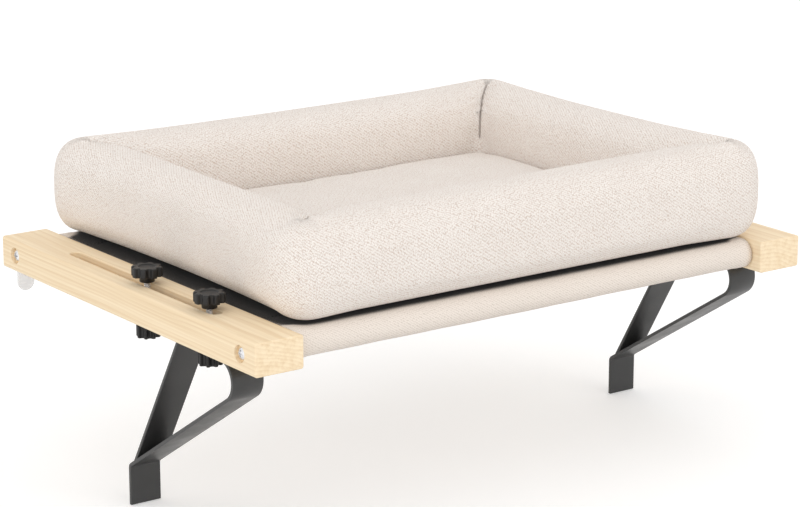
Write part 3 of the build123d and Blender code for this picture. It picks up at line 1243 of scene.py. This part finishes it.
@dataclass
class Sling:
    """Canvas sheet that runs round both rods and back to a row of stitches under itself."""

    thickness: float = 0.0009
    slack: float = 0.00025
    reach: float = 0.046
    allowance: float = 0.008
    sag: float = 0.004
    columns: int = 100
    hem_width: float = 0.012
    hem_rise: float = 0.0004
    stitch_length: float = 0.0028
    stitch_gap: float = 0.0012
    stitch_radius: float = 0.00035
    stitch_inset: float = 0.003
    stitch_offset: float = 0.0025
    side_gap: float = 0.0006
    hem_fade: float = 0.0012
    ripple_height: float = 0.00022

    def __post_init__(self) -> None:
        """Reads the rods' places and the sling's width from the frame."""
        low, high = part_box("rod_rear")
        self.rod_y, self.rod_z = (low.y + high.y) / 2, (low.z + high.z) / 2
        self.radius = (high.z - low.z) / 2 + self.slack + self.thickness / 2
        low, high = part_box("sling")
        self.left, self.right = low.x, high.x

    def panel_height(self, y: np.ndarray) -> np.ndarray:
        """Height of the cloth between the rods: its height on them less a parabola's sag.

        Args:
            y: Places between the rods.

        Returns:
            Heights of the middle of the cloth.
        """
        return self.rod_z + self.radius - self.sag * (1 - (y / self.rod_y) ** 2)

    def profile(self) -> np.ndarray:
        """The cloth's middle line in the YZ plane, from one hidden end to the other.

        It runs from under the panel along a tangent to the front rod, round it by its radius, over the
        panel as a shallow parabola, and back the same way at the rear.

        Returns:
            One row of Y and Z for each point.
        """
        stitch_y = self.rod_y - self.reach
        under = self.thickness * 1.15
        stitch = np.array([stitch_y, self.panel_height(np.array(stitch_y)) - under])
        hidden = np.array([stitch_y - self.allowance, self.panel_height(np.array(stitch_y - self.allowance)) - under])
        centre = np.array([self.rod_y, self.rod_z])
        away = stitch - centre
        facing = math.atan2(away[1], away[0])
        spread = math.acos(self.radius / np.linalg.norm(away))
        turn = np.linspace(facing + spread, 2 * math.pi + math.pi / 2, 30)
        wrap = centre + self.radius * np.stack([np.cos(turn), np.sin(turn)], 1)
        lower = np.linspace(stitch, wrap[0], 10)[:-1]
        rear = np.concatenate([np.linspace(hidden, stitch, 4)[:-1], lower, wrap])
        y = np.linspace(self.rod_y, -self.rod_y, 90)[1:-1]
        panel = np.stack([y, self.panel_height(y)], 1)
        front = rear[::-1] * np.array([-1.0, 1.0])
        return np.concatenate([rear, panel, front])

    def ripple(self, x: np.ndarray, length: np.ndarray) -> np.ndarray:
        """Slight unevenness of the stretched cloth, as the product of two slanted waves.

        Args:
            x: Places across the cloth.
            length: Places along it.

        Returns:
            Heights.
        """
        return self.ripple_height * np.sin(38 * x + 9 * length) * np.sin(61 * x - 14 * length)

    def build(self, finish: bpy.types.Material, thread: bpy.types.Material) -> None:
        """Makes the cloth and its stitches.

        Args:
            finish: The cloth's material.
            thread: The stitches' material.
        """
        line = self.profile()
        length = np.concatenate([[0.0], np.cumsum(np.linalg.norm(np.diff(line, axis=0), axis=1))])
        x = np.linspace(self.left + self.side_gap, self.right - self.side_gap, self.columns)
        run = np.gradient(line, axis=0)
        outward = np.stack([-run[:, 1], run[:, 0]], 1) / np.linalg.norm(run, axis=1, keepdims=True)
        inside = np.minimum(x - self.left, self.right - x)
        hem = self.hem_rise * (1 - smooth_step(inside, self.hem_width - self.hem_fade, self.hem_width))
        lift = hem[None, :] + self.ripple(x[None, :], length[:, None])
        points = np.zeros((len(line), len(x), 3))
        points[..., 0] = x[None, :]
        points[..., 1] = line[:, None, 0] - outward[:, None, 0] * lift
        points[..., 2] = line[:, None, 1] - outward[:, None, 1] * lift
        mesh = bpy.data.meshes.new("sling_cloth")
        mesh.from_pydata(points.reshape(-1, 3).tolist(), [], grid_quads(len(line), len(x)).tolist())
        vertex, _ = loop_arrays(mesh)
        set_map(mesh, points.reshape(-1, 3)[vertex, 0], np.repeat(length, len(x))[vertex])
        cloth = place_soft(mesh, finish)
        thicken = cloth.modifiers.new("thickness", "SOLIDIFY")
        thicken.thickness, thicken.offset = self.thickness, 0.0
        stitches = self.stitching(line, thread)
        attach(cloth, "frame")
        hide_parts("sling")
        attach(stitches, "frame")

    def stitching(self, line: np.ndarray, thread: bpy.types.Material) -> bpy.types.Object:
        """Rows of single stitches across both sleeves, above and below the cloth.

        Each stitch is a short tube whose path is a low half sine.

        Args:
            line: The cloth's profile; not used.
            thread: The thread's material.

        Returns:
            One piece with all the stitches.
        """
        pitch = self.stitch_length + self.stitch_gap
        count = int((self.right - self.left - 2 * self.stitch_inset) / pitch)
        share = np.linspace(0.0, 1.0, 5)
        parts = []
        for side in (-1, 1):
            y = side * (self.rod_y - self.reach + self.stitch_offset)
            top = float(self.panel_height(np.array(y))) + self.thickness / 2
            rows = ((top, 1.0), (top - self.thickness * 2.15, -1.0))
            for height, way in rows:
                arch = height + way * self.stitch_radius * (np.sin(share * math.pi) * 1.2 - 0.4)
                path = np.stack([share * self.stitch_length, np.full(5, y), arch], 1)
                one = tube(path, self.stitch_radius, 6)
                offsets = self.left + self.stitch_inset + pitch * np.arange(count)
                points = one.points[None] + np.stack([offsets, 0 * offsets, 0 * offsets], 1)[:, None]
                quads = one.quads[None] + (np.arange(count) * len(one.points))[:, None, None]
                parts.append(Surface(points.reshape(-1, 3), quads.reshape(-1, 4)))
        return parts[0].joined(*parts[1:]).piece("sling_stitching", thread)


@dataclass
class Clamp:
    """One clamp: a star knob with a threaded stud above the rail, and a smaller star knob below."""

    name: str
    lobes: int = 8
    valley_radius: float = 0.0026
    valley_depth: float = 0.0031
    rim_round: float = 0.0011
    hub_radius: float = 0.00685
    hub_height: float = 0.0050
    lower_hub_radius: float = 0.0075
    lower_hub_height: float = 0.0043
    pitch: float = 0.0010
    thread_depth: float = 0.00030
    angles: int = 192
    blur: int = 5
    thread_columns: int = 24
    thread_rows: int = 7
    thread_fade: float = 0.0012
    knob_clearance: float = 0.00005

    def star(self, radius: float) -> np.ndarray:
        """Outline of the lobed rim as a factor on its radius.

        It is 1 on the lobes. In a valley it is the near side of a circle centred outside the rim. The
        corners between them are rounded by a running average round the rim.

        Args:
            radius: The rim's radius over its lobes.

        Returns:
            The factor at each angle.
        """
        turn = np.linspace(0.0, 2 * math.pi, self.angles, endpoint=False)
        step = 2 * math.pi / self.lobes
        away = np.abs((turn % step) - step / 2)
        far = radius + self.valley_radius - self.valley_depth
        inside = self.valley_radius ** 2 - (far * np.sin(away)) ** 2
        valley = far * np.cos(away) - np.sqrt(np.maximum(inside, 0.0))
        rim = np.where(inside > 0, np.minimum(valley, radius), radius) / radius
        kernel = np.hanning(self.blur + 2)[1:-1]
        padded = np.concatenate([rim[-self.blur:], rim, rim[:self.blur]])
        return np.convolve(padded, kernel / kernel.sum(), "same")[self.blur:-self.blur]

    def star_body(self, radius: float, low: float, high: float, hub_radius: float, hub_end: float) -> Surface:
        """Lobed disc with rounded rims, a shallow dish in its free face and a round hub on the other.

        Args:
            radius: Radius over the lobes.
            low: Height of the disc's hub side.
            high: Height of its free side.
            hub_radius: The hub's radius.
            hub_end: Height of the hub's end.

        Returns:
            The closed surface.
        """
        way = 1.0 if high > low else -1.0
        edge = self.rim_round
        quarter = np.linspace(0.0, math.pi / 2, 6)
        near = np.stack([radius - edge + edge * np.sin(quarter), low + way * edge * (1 - np.cos(quarter))], 1)
        far = np.stack([radius - edge + edge * np.cos(quarter), high - way * edge * (1 - np.sin(quarter))], 1)
        hub = [(0.0, hub_end), (hub_radius - 0.0005, hub_end), (hub_radius - 0.00015, hub_end + way * 0.00012),
               (hub_radius, hub_end + way * 0.0005), (hub_radius, low - way * 0.0006),
               (hub_radius + 0.0002, low - way * 0.0002), (hub_radius + 0.0008, low)]
        dish = [(radius * 0.62, high), (radius * 0.58, high - way * 0.00015), (radius * 0.55, high - way * 0.0007),
                (radius * 0.50, high - way * 0.0009), (radius * 0.25, high - way * 0.0010), (0.0, high - way * 0.0010)]
        outline = np.array(hub + near.tolist() + far.tolist() + dish)
        star = self.star(radius)
        strength = smooth_step(outline[:, 0], radius * 0.66, radius * 0.90)
        rim = 1 + (star[None, :] - 1) * strength[:, None]
        return lathe(outline[:, 0], outline[:, 1], rim)

    def thread(self, low: float, high: float, radius: float) -> Surface:
        """Threaded stud: the radius is a rounded wave of the height less the turn, in pitches.

        Args:
            low: Height of its lower end.
            high: Height of its upper end.
            radius: Radius over the thread.

        Returns:
            The closed surface.
        """
        rows = int((high - low) / self.pitch * self.thread_rows)
        heights = np.linspace(low, high, rows)
        turn = np.linspace(0.0, 1.0, self.thread_columns, endpoint=False)
        wave = 0.5 + 0.5 * np.cos(2 * math.pi * (heights[:, None] / self.pitch - turn[None, :]))
        ends = smooth_step(np.minimum(heights - low, high - heights), 0.0, self.thread_fade)
        reach = radius - self.thread_depth * (1 - wave * ends[:, None])
        rim = np.concatenate([reach[:1] * 0, reach, reach[:1] * 0])
        return lathe(np.ones(rows + 2), np.concatenate([[low], heights, [high]]), rim)

    def build(self, plastic: bpy.types.Material, steel: bpy.types.Material) -> None:
        """Makes the clamp's three visible pieces on their bodies.

        Args:
            plastic: The knobs' material.
            steel: The stud's material.
        """
        low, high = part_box("knob_" + self.name)
        x, y = (low.x + high.x) / 2, (low.y + high.y) / 2
        radius = (high.x - low.x) / 2 + self.knob_clearance
        knob = self.star_body(radius, low.z + self.hub_height, high.z, self.hub_radius, low.z)
        upper = knob.moved(x, y).piece("star_knob_" + self.name, plastic)
        low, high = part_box("lower_knob_" + self.name)
        radius = (high.x - low.x) / 2
        knob = self.star_body(radius, high.z - self.lower_hub_height, low.z, self.lower_hub_radius, high.z)
        lower = knob.moved(x, y).piece("star_nut_" + self.name, plastic)
        low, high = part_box("stud_" + self.name)
        stud = self.thread(low.z, high.z, (high.x - low.x) / 2).moved(x, y).piece("threaded_stud_" + self.name, steel)
        for piece, node, slot in ((upper, "knob_", Slot.KNOB), (lower, "lower_knob_", Slot.KNOB),
                                  (stud, "stud_", Slot.SCREW)):
            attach(piece, node + self.name)
            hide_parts(node + self.name)


@dataclass
class CarriedNodes:
    """CAD nodes that stay, with a finish and, on the steel, rounded edges."""

    edge_round: float = 0.0005

    def dress(self, node: str, finish: bpy.types.Material, rounded: float = 0.0) -> None:
        """Gives a node its material and, if asked, small rounded edges by modifiers.

        Args:
            node: The node's name.
            finish: Its material.
            rounded: Radius of its edges, or 0 to leave them.
        """
        carried = NODES[node]
        for number in range(max(1, len(carried.material_slots))):
            if number < len(carried.material_slots):
                carried.material_slots[number].material = finish
            else:
                carried.data.materials.append(finish)
        if rounded:
            weld = carried.modifiers.new("weld", "WELD")
            weld.merge_threshold = 1e-5
            flat = carried.modifiers.new("flat", "DECIMATE")
            flat.decimate_type, flat.angle_limit = "DISSOLVE", math.radians(1.0)
            bevel = carried.modifiers.new("edges", "BEVEL")
            bevel.width, bevel.segments, bevel.limit_method = rounded, 2, "ANGLE"
            bevel.angle_limit = math.radians(40)
            bevel.harden_normals = False
        LOG.info("carried %s with %s", node, finish.name)

    def build(self, finishes: dict[str, bpy.types.Material]) -> None:
        """Dresses every node that isn't replaced.

        Args:
            finishes: Materials by the names in FINISHES.
        """
        for side in SIDES:
            self.dress("rail_" + side, finishes["rail_" + side])
            self.dress("strap_" + side, finishes["coat"], self.edge_round)
            self.dress("leg_" + side, finishes["coat"], self.edge_round)
            self.dress("tab_" + side, finishes["clear"], self.edge_round)
            for place in PLACES:
                self.dress(f"knob_nut_{side}_{place}", finishes["zinc"])
        for node, finish in (("rod_front", "rods"), ("rod_rear", "rods"), ("rod_inserts", "brass"),
                             ("rod_screws", "zinc"), ("tab_screws", "zinc")):
            self.dress(node, finishes[finish])


@dataclass(frozen=True)
class Studio:
    """Pale floor, soft light and the camera at the photograph's place."""

    eye: Point = (-1.5143, -2.0990, 0.7016)
    target: Point = (-0.15913, -0.2195, 0.08441)
    lens_mm: float = 127.15
    sensor_mm: float = 36.0
    floor_size: float = 30.0
    floor_drop: float = 0.0008
    world_strength: float = 0.96
    backdrop: float = 1.0
    floor_grey: float = 0.80
    floor_glow: float = 0.32
    lamps: tuple[tuple[str, Point, float, float], ...] = (
        ("key", (-2.6, -1.6, 0.9), 1.8, 15.0),
        ("fill", (0.9, -2.6, 1.2), 1.6, 9.0),
    )

    def camera(self) -> None:
        """Adds the camera."""
        data = bpy.data.cameras.new("view")
        data.lens, data.sensor_width, data.clip_end = self.lens_mm, self.sensor_mm, 100.0
        camera = bpy.data.objects.new("view", data)
        bpy.context.scene.collection.objects.link(camera)
        camera.location = self.eye
        camera.rotation_mode = "QUATERNION"
        camera.rotation_quaternion = (Vector(self.target) - Vector(self.eye)).to_track_quat("-Z", "Y")
        bpy.context.scene.camera = camera

    def seen_directly(self, shade: bpy.types.NodeTree) -> Socket:
        """1 for rays that show the background: from the camera, or by a mirror or through glass.

        Args:
            shade: The node tree that gets the nodes.

        Returns:
            The value.
        """
        path = shade.nodes.new("ShaderNodeLightPath")
        first = shade.nodes.new("ShaderNodeMath")
        second = shade.nodes.new("ShaderNodeMath")
        first.operation = second.operation = "MAXIMUM"
        shade.links.new(path.outputs["Is Camera Ray"], first.inputs[0])
        shade.links.new(path.outputs["Is Glossy Ray"], first.inputs[1])
        shade.links.new(first.outputs[0], second.inputs[0])
        shade.links.new(path.outputs["Is Transmission Ray"], second.inputs[1])
        return second.outputs[0]

    def world(self) -> None:
        """Even white light from all round, and a white background where it is seen."""
        world = bpy.data.worlds.new("studio")
        bpy.context.scene.world = world
        world.use_nodes = True
        tree = world.node_tree
        tree.nodes.clear()
        output = tree.nodes.new("ShaderNodeOutputWorld")
        mix = tree.nodes.new("ShaderNodeMixShader")
        lit = tree.nodes.new("ShaderNodeBackground")
        seen = tree.nodes.new("ShaderNodeBackground")
        lit.inputs["Color"].default_value = (1.0, 0.99, 0.98, 1.0)
        lit.inputs["Strength"].default_value = self.world_strength
        seen.inputs["Color"].default_value = (1.0, 1.0, 1.0, 1.0)
        seen.inputs["Strength"].default_value = self.backdrop
        tree.links.new(self.seen_directly(tree), mix.inputs["Fac"])
        tree.links.new(lit.outputs[0], mix.inputs[1])
        tree.links.new(seen.outputs[0], mix.inputs[2])
        tree.links.new(mix.outputs[0], output.inputs["Surface"])

    def floor(self) -> None:
        """A large pale floor just under the feet, that keeps a soft shadow."""
        shade = Shading("pale_floor")
        shade.constants(Base_Color=(self.floor_grey,) * 3, Roughness=1.0, Specular_IOR_Level=0.0)
        glow = shade.tree.nodes.new("ShaderNodeEmission")
        glow.inputs["Color"].default_value = (1.0, 1.0, 1.0, 1.0)
        strength = shade.times(self.seen_directly(shade.tree), self.floor_glow)
        shade.link(strength, glow.inputs["Strength"])
        both = shade.tree.nodes.new("ShaderNodeAddShader")
        shade.link(shade.shader.outputs["BSDF"], both.inputs[0])
        shade.link(glow.outputs[0], both.inputs[1])
        shade.link(both.outputs[0], shade.output.inputs["Surface"])
        half, height = self.floor_size / 2, CAD_LOW.z - self.floor_drop
        corners = np.array([(-half, -half, height), (half, -half, height), (half, half, height), (-half, half, height)])
        mesh = bpy.data.meshes.new("floor")
        mesh.from_pydata(corners.tolist(), [], [(0, 1, 2, 3)])
        mesh.materials.append(shade.material)
        floor = bpy.data.objects.new("floor", mesh)
        bpy.context.scene.collection.objects.link(floor)

    def lamp(self, name: str, place: Point, size: float, power: float) -> None:
        """Adds a square soft light that faces the perch.

        Args:
            name: The lamp's name.
            place: Where it hangs.
            size: Its side.
            power: Its power in watts.
        """
        data = bpy.data.lights.new(name, "AREA")
        data.shape, data.size, data.energy = "SQUARE", size, power
        lamp = bpy.data.objects.new(name, data)
        bpy.context.scene.collection.objects.link(lamp)
        lamp.location = place
        lamp.rotation_mode = "QUATERNION"
        lamp.rotation_quaternion = (Vector((0.0, 0.0, 0.05)) - Vector(place)).to_track_quat("-Z", "Y")

    def build(self) -> None:
        """Adds everything round the perch."""
        self.camera()
        self.world()
        self.floor()
        for name, place, size, power in self.lamps:
            self.lamp(name, place, size, power)
        bpy.context.scene.view_settings.view_transform = "Standard"


def main() -> None:
    """Builds the studio and every piece."""
    logging.basicConfig(level=logging.INFO, format="%(name)s %(message)s")
    finishes = {key: finish.material() for key, finish in FINISHES.items()}
    Studio().build()
    Cushion().build(finishes["cushion"])
    Sling().build(finishes["sling"], finishes["thread"])
    for side in SIDES:
        for place in PLACES:
            Clamp(f"{side}_{place}").build(finishes["plastic"], finishes["zinc"])
    CarriedNodes().build(finishes)


if __name__ == "__main__":
    main()
